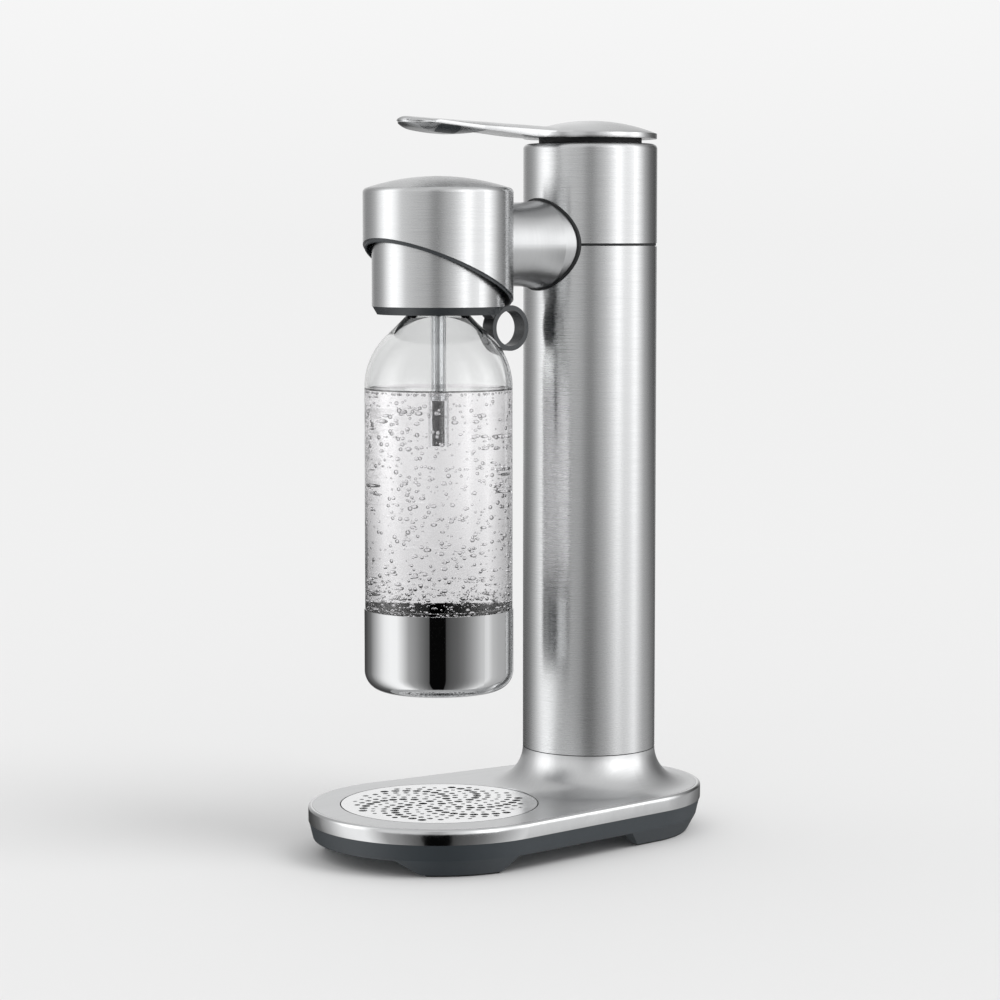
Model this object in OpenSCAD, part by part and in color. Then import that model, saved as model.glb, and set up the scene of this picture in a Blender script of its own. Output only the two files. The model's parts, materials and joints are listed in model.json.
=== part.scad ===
// Sparkling water maker: slanted-lip head with a hung bottle, column with a gas cylinder, oval base.
// Millimetres. The origin lies under the middle of the base, +Z up, the bottle towards -Y.

/* [Base] */
// Radius of the base's front end, round the bottle's axis
front_r = 76; // [68:0.5:84]
// Radius of the base's rear end, round the column's axis
rear_r = 67.5; // [62:0.5:75]
// Distance from the bottle's axis to the column's axis
axis_gap = 113; // [108:0.5:122]
// Height of the top plate over the table
deck_z = 28.4; // [26:0.2:34]
// Height of the polished band round the base
band_h = 9; // [6:0.2:11]
// Thickness of the polished band
band_t = 2.5; // [1.5:0.1:4]
// Thickness of the steel top plate
deck_t = 1.6; // [1:0.1:3]
// Height of the arches between the feet
arch_h = 8.5; // [6:0.2:9.5]
// Radius of the curve that leads from the plate up to the column
flare_r = 21.6; // [16:0.2:22]

/* [Drip tray] */
// Radius of the perforated grille
grille_r = 57; // [50:0.5:60]
// Thickness of the grille
grille_t = 1.5; // [1:0.1:2.5]
// Radius of the area that carries holes
hole_field_r = 52; // [40:0.5:53]
// Number of drain holes
hole_count = 200; // [80:1:230]
// Diameter of the largest drain holes
hole_d = 5; // [3:0.1:5.2]

/* [Column] */
// Outer radius of the column
column_r = 39.75; // [39:0.05:42]
// Thickness of the column's steel skin
column_wall = 1.2; // [0.8:0.1:2]
// Height of the seam between the upper and lower column
seam_z = 351.3; // [348:0.1:354]
// Height of the column's flat top
column_top_z = 410.5; // [409:0.5:416]
// Half of the angle that the rear cover spans
cover_half_angle = 55; // [50:1:58]

/* [Gas cylinder] */
// Radius of the gas cylinder
gas_r = 30; // [28:0.1:30.5]
// Length of the cylinder's body, without its valve
gas_body_h = 323; // [300:1:326]
// Radius of the cylinder valve's threaded stem
gas_thread_r = 10.4; // [8:0.1:11]

/* [Neck and head] */
// Radius of the arm between column and head, at the head
neck_r = 24.3; // [22:0.1:25]
// Outer radius of the head
head_r = 43; // [42.6:0.1:46]
// Thickness of the head's steel skin
head_wall = 1; // [0.8:0.1:1.2]
// Height of the head's shoulder
head_shoulder_z = 384; // [383:0.5:392]
// Height of the dome above the shoulder
head_dome_h = 6.3; // [5:0.1:10]
// Height of the slanted lip on the bottle's axis
lip_z = 335.7; // [333:0.1:338]
// Slant of the lip, in degrees, high at the front
lip_slant = 24.4; // [20:0.1:25]

/* [Lever] */
// Radius of the round end over the column
lever_r = 39.5; // [38:0.1:42]
// Reach of the handle from the column's axis
lever_reach = 139; // [120:1:150]
// Width of the handle
lever_w = 26; // [20:0.5:32]
// Gap between the column's top and the lever
lever_gap = 3; // [2.9:0.1:5]
// Thickness of the lever's rim
lever_rim_t = 3; // [2:0.1:4]
// Height of the round end's dome over its rim
lever_dome_h = 7.7; // [5:0.1:9]

/* [Cap] */
// Outer radius of the cap
cap_r = 38; // [36:0.1:38]
// Height of the lower edge of the cap's steel skin
cap_low_z = 316.4; // [315:0.1:318]
// Height of the cap's top
cap_top_z = 356.5; // [354:0.1:357]
// Outer radius of the finger ring
ring_r = 13.25; // [11:0.05:13.5]
// Width of the finger ring
ring_w = 9.6; // [6:0.1:12]

/* [Bottle] */
// Outer radius of the bottle
bottle_r = 42.5; // [40:0.1:42.6]
// Thickness of the bottle's wall
bottle_wall = 1.8; // [1:0.1:3]
// Height of the bottle's lowest point when it hangs in the head
bottle_low_z = 95.3; // [93:0.1:110]
// Height of the steel cup round the bottle's foot
cup_h = 47.4; // [30:0.1:60]
// Outer radius of the bottle's neck
bottle_neck_r = 17.4; // [15:0.1:18]
// Height at which the bottle's shoulder starts
shoulder_z = 270; // [262:0.5:272]
// Lowest point of the carbonating tube's sheath
tube_low_z = 236.5; // [200:0.5:245]

/* [Hidden] */
$fn = 96;

// Clearances and the overrun of cuts
over = 1;
run_gap = 0.05;
seat_gap = 0.25;
free_gap = 0.4;

// Places of the two axes, with the base centred on the origin
base_depth = front_r + axis_gap + rear_r;
bottle_y = front_r - base_depth / 2;
column_y = bottle_y + axis_gap;

// Base outline: two circles and their common tangents
tangent_sin = (front_r - rear_r) / axis_gap;
tangent_cos = sqrt(1 - tangent_sin * tangent_sin);

// Base section, from the table up
band_z = deck_z - band_h;
band_bevel = 1;
pad_t = 1;
arch_z = arch_h + pad_t;
knee_rise = 0.6;
knee_z = arch_z + knee_rise;
knee_inset = 2.6;
foot_inset = 7.5;
body_inset = 0.4;
underbody_wall = 2.4;
floor_rise = 0.4;
floor_z = arch_z + floor_rise;
floor_t = 2;
screw_recess = 0.3;
screw_seat_z = floor_z + screw_recess;
hollow_inset = 14;
pad_inset = 8.6;
pad_w = 4;
frame_z = floor_z + floor_t;
frame_t = 3;
frame_inset = 6;
post_r = 3.4;
post_angles = [62, 118];

// Feet, as angles from the front end's and the rear end's axes
front_foot_start = 46;
front_foot_end = 83;
rear_foot_start = 78;
rear_foot_end = 131;

// Drip tray
tray_gap = 0.7;
well_r = grille_r + tray_gap;
cup_wall = 1.6;
cup_r = well_r - free_gap;
cup_top_z = deck_z - grille_t;
tray_floor_z = frame_z + seat_gap;
hole_d_shares = [1, 0.7, 0.5, 0.7, 1, 0.5, 0.7];
golden_angle = 137.508;

// Column
skin_in_r = column_r - column_wall;
flare_top_z = deck_z + flare_r;
flare_wall = column_wall;
foot_seal_t = 0.5;
seam_t = 1.5;
seam_inset = 0.5;
edge_r = 3;
lower_low_z = flare_top_z + foot_seal_t;
lower_high_z = seam_z - seam_t / 2;
upper_low_z = seam_z + seam_t / 2;
chassis_r = skin_in_r - seat_gap;
chassis_wall = 2.3;
chassis_in_r = chassis_r - chassis_wall;
shelf_t = 3;
shelf_drop = 22.5;
shelf_z = column_top_z - shelf_drop;
chassis_high_z = shelf_z + shelf_t;
window_extra_angle = 3.5;
window_y = chassis_r * cos(cover_half_angle + window_extra_angle);
window_rise = 2;
window_drop = 6;
window_low_z = lower_low_z + window_rise;
window_high_z = lower_high_z - window_drop;
cover_gap_angle = 0.6;
cover_frame_angle = 4;
cover_frame_t = 1.5;
clip_inset = 2.2;
clip_t = 1.5;
clip_h = 12;
clip_back = 8;
clip_shares = [0.25, 0.7];

// Gas cylinder, standing on its pad
pad_thickness = 0.6;
pad_r_share = 0.8;
gas_low_z = frame_z + frame_t + pad_thickness + seat_gap;
gas_top_z = gas_low_z + gas_body_h;
gas_edge_r = 7;
gas_neck_r = 13;
gas_wall = 2.6;
gas_dish_share = 0.9;
valve_collar_h = 9.5;
valve_collar_w = 2.6;
valve_collar_r = gas_thread_r + valve_collar_w;
thread_low_z = gas_top_z + valve_collar_h;
thread_h = 17;
thread_high_z = thread_low_z + thread_h;
pin_r = 1.5;
pin_below = 20;
pin_lift = 2;
pin_above = 1.1;
cradle_h = 8;
cradle_rise = 14;
cradle_drop = 50;
cradle_low_z = window_low_z + cradle_rise;
cradle_high_z = window_high_z - cradle_drop;

// Valve body under the shelf
valve_low_z = thread_low_z + seat_gap;
valve_r = 22;
valve_flange_t = 4;
valve_top_z = shelf_z + shelf_t;
valve_seal_t = 1.4;
seal_bore_share = 0.45;
chamber_r = 6;
chamber_h = 3.5;
plunger_r = 4;
spring_pocket_r = 8;
spring_pocket_h = 8;
port_r = 1.2;
port_x_share = 0.73;
relief_r = 5;
relief_l = 11;
relief_cap_r = 6.5;
relief_cap_l = 3;

// Plunger and its spring
plunger_low_z = thread_high_z + pin_above + seat_gap;
plunger_head_r = 7;
plunger_head_t = 2.4;
spring_wire_r = 0.6;
spring_turns = 6;
spring_steps = 10;
spring_clearance = 0.9;
spring_r = plunger_r + spring_wire_r + spring_clearance;

// Lever pivot, behind the column's axis
pivot_back = 24;
pivot_below = 6.5;
pivot_z = column_top_z - pivot_below;
pivot_r = 2.5;
pivot_half_l = 20.5;
bracket_t = 2.5;
bracket_inset = 1;
bracket_r = chassis_r - bracket_inset;
upright_t = 3;
upright_w = 14;
upright_in_x = 17;
upright_drop = 2.5;
upright_top_z = column_top_z - upright_drop;
screw_r = 2;
screw_head_r = 3.6;
screw_head_h = 2;
chassis_screw_r = 33;
chassis_screw_angles = [30, 150, 270];

// Lever
hub_r = 30.5;
hub_opening_gap = 0.8;
hub_below = 1.6;
hub_above = 3;
lever_low_z = column_top_z + lever_gap;
lug_t = 4;
lug_gap = 0.5;
lug_in_x = upright_in_x - lug_gap - lug_t;
lug_r = 4.6;
cam_r = 4;
cam_below = 4;
cam_gap = 0.4;
plunger_top_z = column_top_z - hub_below - cam_below - cam_gap;
lever_blend_r = 24;
handle_root = -38;
handle_rise = 5;
handle_bend_r = 250;
handle_tip_t = 1.9;
handle_thin_l = 63;
handle_steps = 36;
crown_h = 2.9;
crown_over = 6.7;
crown_rise = 2;
grip_start = 53;
shell_low_start = 411.7;
shell_rise = 2.3;
shell_inset = 0.6;
shell_round_r = 17;
tip_round_r = 92;
tip_round_start = 108;
slot_mid = 112.5;
slot_l = 17;
slot_h = 4.4;
slot_z = 416.7;
slot_depth = 9;
slot_in_x = lever_w / 2 - slot_depth;

// Neck between the column and the head
neck_over_seam = 0.1;
neck_z = seam_z + neck_over_seam;
neck_flare = 1.7;
neck_flare_l = 19;
neck_flare_arc_r = (neck_flare_l * neck_flare_l + neck_flare * neck_flare) / (2 * neck_flare);
neck_wall = 1.3;
gasket_lip = 1;
gasket_r = neck_r + neck_flare + gasket_lip;
gasket_t = 1.4;
gasket_w = 3;
core_r = 18;
core_wall = 2.5;
core_gap = 0.25;
tube_r = 2;
tube_bore_r = 1.2;
outlet_rise = 8;
outlet_z = neck_z + outlet_rise;
bolt_r = 2;
bolt_x = 8;
bolt_head_r = 4;
bolt_z = cap_top_z + free_gap + bolt_head_r;
bolt_head_h = 2;

// Head
liner_r = head_r - head_wall;
liner_wall = 1;
liner_in_r = liner_r - liner_wall;
head_edge_r = 3;
dome_foot_r = head_r - head_edge_r;
dome_r = (dome_foot_r * dome_foot_r + head_dome_h * head_dome_h) / (2 * head_dome_h);
lip_proud = 1.5;
liner_drop = 6;
liner_top_z = head_shoulder_z - liner_drop;
liner_top_t = 2;
riser_back = 35.5;
riser_rise = 2.4;
riser_play = 1.7;
riser_z = liner_top_z + riser_rise;
bend_r = 5;
nozzle_r = 11;
nozzle_rise = 3.6;
nozzle_top_z = riser_z + nozzle_rise;

// Socket that carries the cap, tilting about its pins
tilt_rise = 5;
tilt_z = cap_top_z + tilt_rise;
socket_r = 30;
socket_rise = 7;
socket_top_z = tilt_z + socket_rise;
ball_r = 15;
ball_gap = 0.3;
socket_low_z = cap_top_z + seat_gap;
socket_pin_r = 2.5;
socket_pin_in = 26;
boss_r = 4.4;
boss_in_x = 34.5;
stem_r = 9;
stem_drop = 1;
stem_top_z = socket_top_z - stem_drop;
seal_r = 1.05;
socket_seal_rise = 2;
socket_seal_z = tilt_z + socket_seal_rise;

// Cap
cap_wall = 1;
cap_edge_r = 1.6;
collar_h = 4.6;
collar_inset = 0.3;
collar_taper = 3;
collar_bore_gap = 1.6;
collar_z = cap_low_z - collar_h;
collar_top_r = cap_r - collar_inset;
collar_low_r = cap_r - collar_taper;
collar_bore_r = bottle_neck_r + collar_bore_gap;
thread_gap = 0.05;
sleeve_wall = 3.2;
mouth_rise = 13.6;
bottle_mouth_z = cap_low_z + mouth_rise;
cap_seal_t = 1.2;
core_disc_t = 4;
core_disc_z = bottle_mouth_z + cap_seal_t + seat_gap;
core_rib_t = 2;
core_rim_gap = 0.1;
core_rim_r = cap_r - cap_wall - core_rim_gap;
core_channel_r = 1.6;

// Finger ring on the cap's collar
ring_wall = 2.85;
ring_hole_r = ring_r - ring_wall;
ring_back = 49;
ring_drop = 13.4;
ring_z = cap_low_z - ring_drop;
eye_back = 34;
eye_drop = 2.5;
eye_z = cap_low_z - eye_drop;
eye_r = 2.1;
eye_w_share = 1.6;
ring_pin_r = 1;
ring_pin_half_l = 8;
ring_arm_w = 5.4;
ring_arm_inset = 0.4;
ring_notch_gap = 0.3;
ring_notch_depth = 31.2;

// Carbonating tube
carb_r = 3.5;
carb_bore_r = 1.5;
carb_rise = 26.5;
carb_inside = 7;
carb_low_z = tube_low_z + carb_rise;
carb_high_z = core_disc_z + core_disc_t + carb_inside;
sheath_r = 4.55;
sheath_wall = 0.6;
sheath_high_z = core_disc_z;
diffuser_r = 2.75;
diffuser_spigot = 5;
diffuser_lift = 0.6;

// Bottle
shoulder_set = 1.4;
shoulder_h = 31;
neck_low_drop = 4.4;
shoulder_arc_r = bottle_r - shoulder_set;
shoulder_end_z = shoulder_z + shoulder_h;
neck_low_z = cap_low_z - neck_low_drop;
cup_wall_t = 0.8;
cup_proud = 0.5;
cup_outer_r = bottle_r + cup_proud;
cup_edge_r = 11.5;
cup_seat = 0.1;
bottle_foot_r = cup_outer_r - cup_wall_t - cup_seat;
bottle_foot_z = bottle_low_z + cup_wall_t + cup_seat;
cup_lip_z = bottle_low_z + cup_h;

// Shared shapes

module at_bottle() {
    translate([0, bottle_y, 0]) children();
}

module at_column() {
    translate([0, column_y, 0]) children();
}

module disc(r, z0, z1) {
    translate([0, 0, z0]) cylinder(r = r, h = z1 - z0);
}

module ring(r_out, r_in, z0, z1) {
    difference() {
        disc(r_out, z0, z1);
        disc(r_in, z0 - over, z1 + over);
    }
}

// A rod along Y from y0 to y1 at height z
module rod_y(r, y0, y1, z) {
    translate([0, y1, z]) rotate([90, 0, 0]) cylinder(r = r, h = y1 - y0);
}

// A rod along X from x0 to x1
module rod_x(r, x0, x1, y, z) {
    translate([x0, y, z]) rotate([0, 90, 0]) cylinder(r = r, h = x1 - x0);
}

module box(low, high) {
    translate(low) cube(high - low);
}

module both_sides() {
    children();
    mirror([1, 0, 0]) children();
}

// Half section of a round block whose upper edge is rounded
module topped(r, z0, z1, edge) {
    translate([0, z0]) square([r, z1 - edge - z0]);
    translate([0, z0]) square([r - edge, z1 - z0]);
    translate([r - edge, z1 - edge]) circle(r = edge);
}

// Half section of a round block whose lower edge is rounded
module footed(r, z0, z1, edge) {
    translate([0, z0 + edge]) square([r, z1 - z0 - edge]);
    translate([0, z0]) square([r - edge, edge]);
    translate([r - edge, z0 + edge]) circle(r = edge);
}

// Two circles joined by their tangents, drawn in by inset
function outline_corners(inset) = [
    [(front_r - inset) * tangent_cos, bottle_y + (front_r - inset) * tangent_sin],
    [(rear_r - inset) * tangent_cos, column_y + (rear_r - inset) * tangent_sin],
    [-(rear_r - inset) * tangent_cos, column_y + (rear_r - inset) * tangent_sin],
    [-(front_r - inset) * tangent_cos, bottle_y + (front_r - inset) * tangent_sin]
];

module base_block(inset, z0, z1) {
    at_bottle() disc(front_r - inset, z0, z1);
    at_column() disc(rear_r - inset, z0, z1);
    translate([0, 0, z0]) linear_extrude(z1 - z0) polygon(outline_corners(inset));
}

// Carries a cutter's section round the base's outline; x is the way out from the outline, y the height
module along_outline() {
    lean = asin(tangent_sin);
    corner = outline_corners(0)[1] + [-over * tangent_sin, over * tangent_cos];
    at_bottle() rotate([0, 0, 180 - lean]) rotate_extrude(angle = 180 + 2 * lean)
        translate([front_r, 0]) children();
    at_column() rotate([0, 0, lean]) rotate_extrude(angle = 180 - 2 * lean)
        translate([rear_r, 0]) children();
    both_sides() translate(corner) rotate([90, 0, lean])
        linear_extrude(axis_gap * tangent_cos + 2 * over) children();
}

// A sector of the column's plan that opens towards the rear
module rear_sector(half_angle, z0, z1) {
    reach = 2 * column_r;
    tip = [reach * sin(half_angle), reach * cos(half_angle)];
    translate([0, 0, z0]) linear_extrude(z1 - z0) polygon([[0, 0], tip, [-tip[0], tip[1]]]);
}

// Passage for the neck's core through a wall of the column or head
module core_passage() {
    rod_y(core_r + core_gap, bottle_y, column_y, neck_z);
}

// Base

module arch(half_w, reach) {
    rotate([90, 0, 0]) linear_extrude(reach) polygon([
        [-half_w - over, -over],
        [half_w + over, -over],
        [half_w - arch_z, arch_z],
        [-half_w + arch_z, arch_z]
    ]);
}

module arches() {
    foot_r = front_r - foot_inset;
    rear_foot_r = rear_r - foot_inset;
    side_y0 = bottle_y - foot_r * cos(front_foot_end);
    side_y1 = column_y - rear_foot_r * cos(rear_foot_start);
    at_bottle() arch(foot_r * sin(front_foot_start), front_r + over);
    at_column() mirror([0, 1, 0]) arch(rear_foot_r * sin(rear_foot_end), rear_r + over);
    translate([0, (side_y0 + side_y1) / 2, 0]) rotate([0, 0, 90])
        translate([0, front_r + over, 0]) arch((side_y1 - side_y0) / 2, 2 * (front_r + over));
}

// The cut that slants the underbody's sides, in at the feet
module side_cut() {
    low_lean = (foot_inset - knee_inset) / (knee_z - pad_t);
    high_lean = (knee_inset - body_inset) / (band_z - knee_z);
    polygon([
        [-foot_inset - over * low_lean, pad_t - over],
        [-knee_inset, knee_z],
        [-body_inset + over * high_lean, band_z + over],
        [over, band_z + over],
        [over, pad_t - over]
    ]);
}

module base_underbody() color("#34393d") difference() {
    base_block(body_inset, pad_t, band_z);
    along_outline() side_cut();
    base_block(hollow_inset, -over, floor_z);
    screw_places() disc(screw_head_r + seat_gap, -over, screw_seat_z);
    base_block(knee_inset + underbody_wall, frame_z, band_z + over);
    arches();
    screw_places() disc(screw_r + seat_gap, -over, frame_z + over);
}

module foot_pads() color("#1c1e20") difference() {
    base_block(pad_inset, 0, pad_t);
    base_block(pad_inset + pad_w, -over, pad_t + over);
    arches();
}

module base_rim() color("#c9cbcd") difference() {
    base_block(0, band_z, deck_z);
    base_block(band_t, band_z - over, deck_z + over);
    along_outline() polygon([
        [-band_bevel - over, deck_z + over],
        [over, deck_z - band_bevel - over],
        [over, deck_z + over]
    ]);
}

module flare_section() {
    low_z = deck_z - deck_t;
    arc_x = column_r + flare_r;
    intersection() {
        translate([column_r - flare_wall, low_z]) square([flare_r + flare_wall, flare_r + deck_t]);
        difference() {
            translate([arc_x, flare_top_z]) circle(r = flare_r + flare_wall);
            translate([arc_x, flare_top_z]) circle(r = flare_r);
        }
    }
    translate([column_r - flare_wall, low_z]) square([flare_r + flare_wall + over, deck_t]);
}

module base_plate() color("#b4b6b8") difference() {
    union() {
        difference() {
            base_block(band_t, deck_z - deck_t, deck_z);
            at_column() disc(column_r + flare_wall, deck_z - deck_t - over, deck_z + over);
        }
        at_column() rotate_extrude() flare_section();
    }
    at_bottle() disc(well_r, deck_z - deck_t - over, flare_top_z);
}

module screw_places() {
    at_bottle() for (a = post_angles, s = [-1, 1])
        rotate([0, 0, s * a - 90]) translate([front_r - frame_inset - 2 * post_r, 0, 0]) children();
    at_column() for (s = [-1, 1])
        rotate([0, 0, s * post_angles[0] + 90])
            translate([rear_r - frame_inset - 2 * post_r, 0, 0]) children();
}

module base_frame() color("#7d8184") difference() {
    union() {
        base_block(frame_inset, frame_z, frame_z + frame_t);
        screw_places() disc(post_r, frame_z, deck_z - deck_t);
    }
    at_bottle() disc(cup_r + seat_gap, frame_z - over, deck_z);
    screw_places() disc(screw_r, frame_z - over, deck_z - deck_t - frame_t);
}

module base_screws() color("#55595c") screw_places() {
    disc(screw_r, screw_seat_z, deck_z - deck_t - frame_t - over);
    disc(screw_head_r, screw_seat_z - screw_head_h, screw_seat_z);
}

module drip_cup() color("#26292b") at_bottle() rotate_extrude() difference() {
    footed(cup_r, tray_floor_z, cup_top_z, 2 * cup_wall);
    footed(cup_r - cup_wall, tray_floor_z + cup_wall, cup_top_z + over, cup_wall);
}

// Holes lie on a spiral that fills the field evenly
module drip_grille() color("#d9dadb") at_bottle() difference() {
    disc(grille_r, cup_top_z, deck_z);
    for (i = [0 : hole_count - 1]) {
        r = (hole_field_r - hole_d / 2) * sqrt((i + 0.5) / hole_count);
        share = hole_d_shares[i % len(hole_d_shares)];
        rotate([0, 0, i * golden_angle]) translate([r, 0, 0])
            disc(hole_d * share / 2, cup_top_z - over, deck_z + over);
    }
}

// Column

module foot_seal() color("#202224") at_column()
    ring(column_r - seam_inset, chassis_r, flare_top_z, lower_low_z);

module lower_column() color("#b9bbbd") difference() {
    at_column() ring(column_r, skin_in_r, lower_low_z, lower_high_z);
    at_column() rear_sector(cover_half_angle, lower_low_z - over, lower_high_z + over);
    core_passage();
}

module seam_ring() color("#1e2022") difference() {
    at_column() ring(column_r - seam_inset, chassis_r, lower_high_z, upper_low_z);
    core_passage();
}

module upper_column() color("#b9bbbd") difference() {
    at_column() rotate_extrude() difference() {
        topped(column_r, upper_low_z, column_top_z, edge_r);
        topped(skin_in_r, upper_low_z - over, column_top_z - column_wall, edge_r - column_wall);
        translate([0, upper_low_z - over]) square([hub_r + hub_opening_gap, column_top_z]);
    }
    core_passage();
}

module column_chassis() color("#5b6064") difference() {
    at_column() {
        ring(chassis_r, chassis_in_r, frame_z + frame_t, chassis_high_z);
        ring(chassis_r, hub_r - over, shelf_z, chassis_high_z);
    }
    at_column() box([-column_r, window_y, window_low_z], [column_r, column_r, window_high_z]);
    rod_y(tube_r + seat_gap, bottle_y, column_y, outlet_z);
    both_sides() translate([bolt_x, 0, 0]) rod_y(bolt_r + seat_gap, bottle_y, column_y, bolt_z);
    chassis_screw_places() disc(screw_r + run_gap, shelf_z - over, chassis_high_z + over);
}

module cylinder_cradle() color("#3f4447") difference() {
    at_column() for (z = [cradle_low_z, cradle_high_z])
        ring(chassis_in_r, gas_r + free_gap, z, z + cradle_h);
    at_column() box([-column_r, window_y, window_low_z], [column_r, column_r, window_high_z]);
}

module cylinder_pad() color("#202224") at_column()
    disc(gas_r * pad_r_share, frame_z + frame_t, frame_z + frame_t + pad_thickness);

module rear_cover() color("#b9bbbd") at_column() intersection() {
    ring(column_r, skin_in_r, lower_low_z + seat_gap, lower_high_z - free_gap);
    rear_sector(cover_half_angle - cover_gap_angle, lower_low_z, lower_high_z);
}

module cover_frame() color("#3f4447") at_column() {
    clip_x = gas_r - clip_inset;
    frame_in_r = skin_in_r - cover_frame_t;
    intersection() {
        ring(skin_in_r, frame_in_r, window_low_z + free_gap, window_high_z - free_gap);
        rear_sector(cover_half_angle - cover_frame_angle, window_low_z, window_high_z);
    }
    for (share = clip_shares) both_sides() intersection() {
        clip_z = window_low_z + share * gas_body_h;
        box([clip_x, window_y - clip_back, clip_z], [clip_x + clip_t, column_r, clip_z + clip_h]);
        disc((skin_in_r + frame_in_r) / 2, window_low_z, window_high_z);
    }
}

// Gas cylinder and valve

module gas_section(inset) {
    footed(gas_r - inset, gas_low_z + inset, gas_top_z - gas_r, gas_edge_r - inset);
    intersection() {
        translate([0, gas_top_z - gas_r]) circle(r = gas_r - inset);
        translate([0, gas_low_z + gas_edge_r]) square([gas_r, gas_body_h]);
    }
}

module gas_cylinder() color("#8f9aa0") at_column() rotate_extrude() {
    dish_z = gas_low_z - gas_r * gas_dish_share;
    difference() {
        union() {
            gas_section(0);
            translate([0, gas_top_z - gas_r]) square([gas_neck_r, gas_r]);
        }
        difference() {
            gas_section(gas_wall);
            translate([0, dish_z]) circle(r = gas_r + gas_wall);
        }
        translate([0, gas_top_z - gas_r]) square([gas_thread_r - 2 * pin_r, gas_body_h]);
        translate([0, dish_z]) circle(r = gas_r);
    }
}

module cylinder_valve() color("#b08d57") at_column() difference() {
    union() {
        disc(gas_thread_r - 2 * pin_r, gas_top_z - pin_below, thread_low_z);
        disc(valve_collar_r, gas_top_z, thread_low_z);
        disc(gas_thread_r, thread_low_z, thread_high_z);
    }
    disc(pin_r + run_gap, thread_high_z - pin_below, thread_high_z + over);
}

module valve_pin() color("#c9b37a") at_column()
    disc(pin_r, thread_high_z - pin_below + pin_lift, thread_high_z + pin_above);

module valve_body() color("#a7a9ab") difference() {
    at_column() {
        disc(valve_r, valve_low_z, shelf_z);
        disc(chassis_in_r - seat_gap, shelf_z - valve_flange_t, shelf_z);
        disc(hub_r - over - seat_gap, shelf_z, valve_top_z);
    }
    at_column() {
        disc(gas_thread_r + run_gap, valve_low_z - over, thread_high_z + valve_seal_t + seat_gap);
        disc(chamber_r, thread_high_z, thread_high_z + valve_seal_t + chamber_h);
        disc(plunger_r + run_gap, thread_high_z, valve_top_z + over);
        disc(spring_pocket_r, valve_top_z - spring_pocket_h, valve_top_z + over);
    }
    port_y = column_y - valve_r * port_x_share;
    port_z = thread_high_z + valve_seal_t + chamber_h / 2;
    rod_y(tube_bore_r, column_y - valve_r - over, port_y, outlet_z);
    translate([0, port_y, 0]) disc(port_r, outlet_z - port_r, port_z + port_r);
    rod_y(port_r, port_y, column_y, port_z);
    chassis_screw_places() disc(screw_r + run_gap, shelf_z - valve_flange_t - over, shelf_z + over);
}

module valve_seal() color("#1c1e20") at_column() translate([0, 0, thread_high_z + seat_gap])
    ring(gas_thread_r, gas_thread_r * seal_bore_share, 0, valve_seal_t);

module relief_valve() color("#b08d57") {
    relief_z = shelf_z - valve_flange_t - relief_cap_r - over;
    cap_y = column_y + valve_r + relief_l - relief_cap_l;
    rod_y(relief_r, column_y + valve_r, cap_y, relief_z);
    rod_y(relief_cap_r, cap_y, cap_y + relief_cap_l, relief_z);
}

module plunger() color("#c4c6c8") at_column() {
    disc(plunger_r, plunger_low_z, plunger_top_z - plunger_head_t);
    disc(plunger_head_r, plunger_top_z - plunger_head_t, plunger_top_z);
}

// An open coil round the plunger, as one tube
module plunger_spring() color("#9a9da0") {
    low_z = valve_top_z - spring_pocket_h + spring_wire_r + seat_gap;
    high_z = plunger_top_z - plunger_head_t - spring_wire_r - seat_gap;
    sides = 6;
    rings = spring_turns * spring_steps;
    points = [for (i = [0 : rings], j = [0 : sides - 1])
        let (a = 360 * i / spring_steps, b = 360 * j / sides, d = spring_r + spring_wire_r * cos(b))
        [d * cos(a), d * sin(a), (high_z - low_z) * i / rings + spring_wire_r * sin(b)]];
    sides_faces = [for (i = [0 : rings - 1], j = [0 : sides - 1])
        let (n = (j + 1) % sides)
        [i * sides + j, (i + 1) * sides + j, (i + 1) * sides + n, i * sides + n]];
    first = [[for (j = [0 : sides - 1]) j]];
    last = [[for (j = [sides - 1 : -1 : 0]) rings * sides + j]];
    at_column() translate([0, 0, low_z]) polyhedron(concat(points), concat(sides_faces, first, last));
}

module chassis_screw_places() {
    at_column() for (a = chassis_screw_angles)
        rotate([0, 0, a]) translate([chassis_screw_r, 0, 0]) children();
}

module pivot_bracket() color("#6f7478") difference() {
    at_column() {
        disc(bracket_r, chassis_high_z, chassis_high_z + bracket_t);
        both_sides() box([upright_in_x, pivot_back - upright_w / 2, chassis_high_z],
            [upright_in_x + upright_t, pivot_back + upright_w / 2, upright_top_z]);
    }
    at_column() disc(spring_pocket_r + over, chassis_high_z - over, chassis_high_z + bracket_t + over);
    rod_x(pivot_r, -column_r, column_r, column_y + pivot_back, pivot_z);
    chassis_screw_places() disc(screw_r + run_gap, chassis_high_z - over, chassis_high_z + bracket_t + over);
}

module pivot_pin() color("#c4c6c8")
    rod_x(pivot_r, -pivot_half_l, pivot_half_l, column_y + pivot_back, pivot_z);

module chassis_screws() color("#55595c") chassis_screw_places() {
    disc(screw_r, shelf_z - valve_flange_t, chassis_high_z + bracket_t);
    disc(screw_head_r, chassis_high_z + bracket_t, chassis_high_z + bracket_t + screw_head_h);
}

// Gas line, neck and head

// Quarter of a ring of tube in the YZ plane, its centre at y, z, from angle a
module tube_bend(r, y, z, a) {
    translate([0, y, z]) rotate([90, 0, 90]) rotate([0, 0, a]) rotate_extrude(angle = 90)
        translate([bend_r, 0]) circle(r = r);
}

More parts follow.
